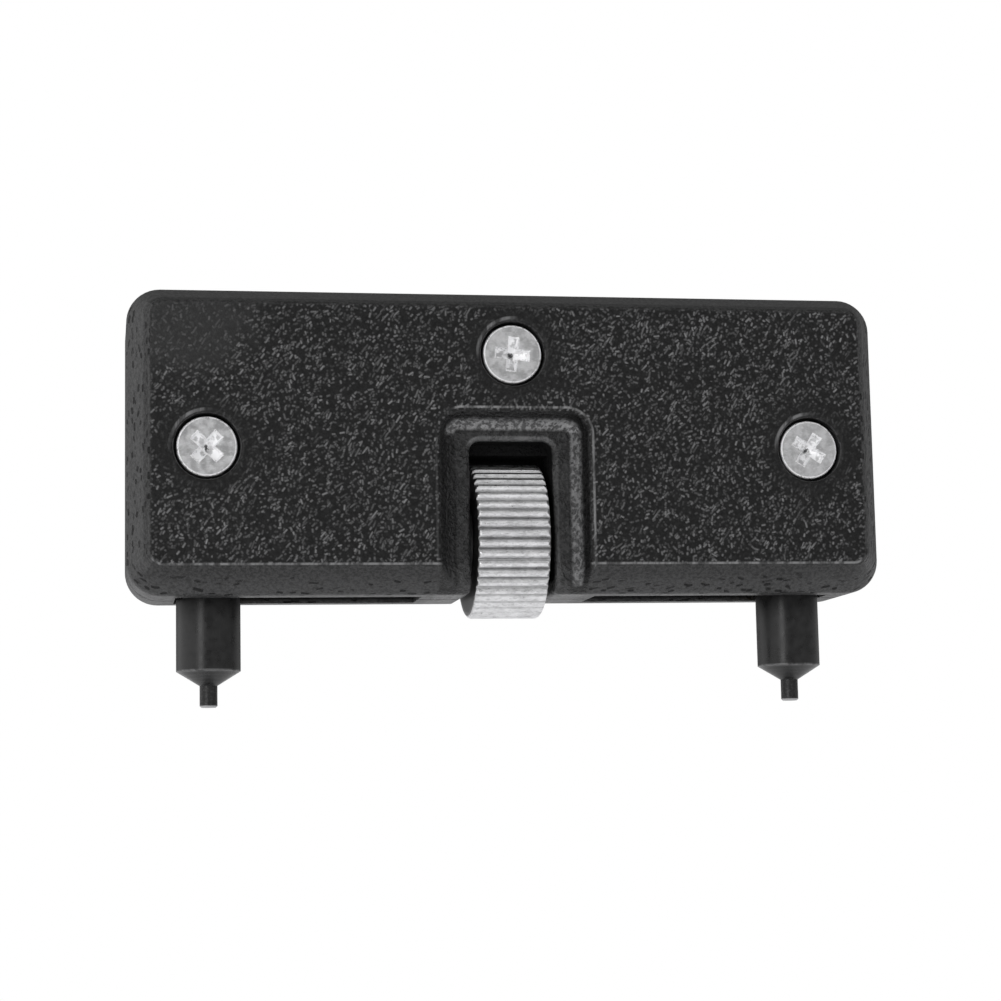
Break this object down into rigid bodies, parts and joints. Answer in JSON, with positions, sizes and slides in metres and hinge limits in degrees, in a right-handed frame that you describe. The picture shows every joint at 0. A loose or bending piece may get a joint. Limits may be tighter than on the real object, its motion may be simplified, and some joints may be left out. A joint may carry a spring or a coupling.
{
  "type": "adjustable two-claw watch case-back opener",
  "caption": "Hand tool for unscrewing watch case backs: a knurled wheel in a moulded body draws a pair of pin-ended steel claws together or apart.",
  "frame": {"origin": "midway between the tips of the claws' pins, on the plane where the two shells meet", "axes": "+X along the tool towards the right claw, +Y from the front face, which has the screws, to the back face, +Z from the claw tips up to the top of the body"},
  "size_m": [0.069, 0.016, 0.0373],
  "materials": {
    "shell_plastic": "moulded black plastic with a fine leathery grain",
    "screw_plating": "dull bright zinc plate, worn in the cross recess",
    "wheel_steel": "straight-knurled, satin nickel plate",
    "blackened_steel": "turned and oil-blackened, semi-gloss",
    "claw_pin_steel": "blackened, rubbed bright at the tip",
    "spindle_steel": "rolled thread, lightly oiled",
    "washer_steel": "oil-blackened flat steel",
    "brass": "machined"
  },
  "bodies": {
    "case": {"front_shell": "shell_plastic", "back_shell": "shell_plastic", "shell_screw_top": "screw_plating", "shell_screw_left": "screw_plating", "shell_screw_right": "screw_plating", "threaded_insert_top": "brass", "threaded_insert_left": "brass", "threaded_insert_right": "brass", "spindle_bush_left": "brass", "spindle_bush_right": "brass"},
    "drive": {"spindle": "spindle_steel", "thumb_wheel": "wheel_steel", "thrust_washer_left": "washer_steel", "thrust_washer_right": "washer_steel"},
    "left_claw": {"left_carrier": "brass", "left_post": "blackened_steel", "left_claw_pin": "claw_pin_steel"},
    "right_claw": {"right_carrier": "brass", "right_post": "blackened_steel", "right_claw_pin": "claw_pin_steel"}
  },
  "joints": [
    {"name": "wheel_spin", "type": "hinge", "parent": "case", "child": "drive", "pos_m": [0, 0, 0.01501], "axis": [1, 0, 0], "range_deg": [0, 8280]},
    {"name": "left_claw_slide", "type": "slide", "parent": "case", "child": "left_claw", "axis": [1, 0, 0], "range_m": [0, 0.0161]},
    {"name": "right_claw_slide", "type": "slide", "parent": "case", "child": "right_claw", "axis": [-1, 0, 0], "range_m": [0, 0.0161]}
  ],
  "couplings": [
    {"joint": "wheel_spin", "follows": "left_claw_slide", "rad_per_m": 8976},
    {"joint": "right_claw_slide", "follows": "left_claw_slide", "ratio": 1}
  ]
}
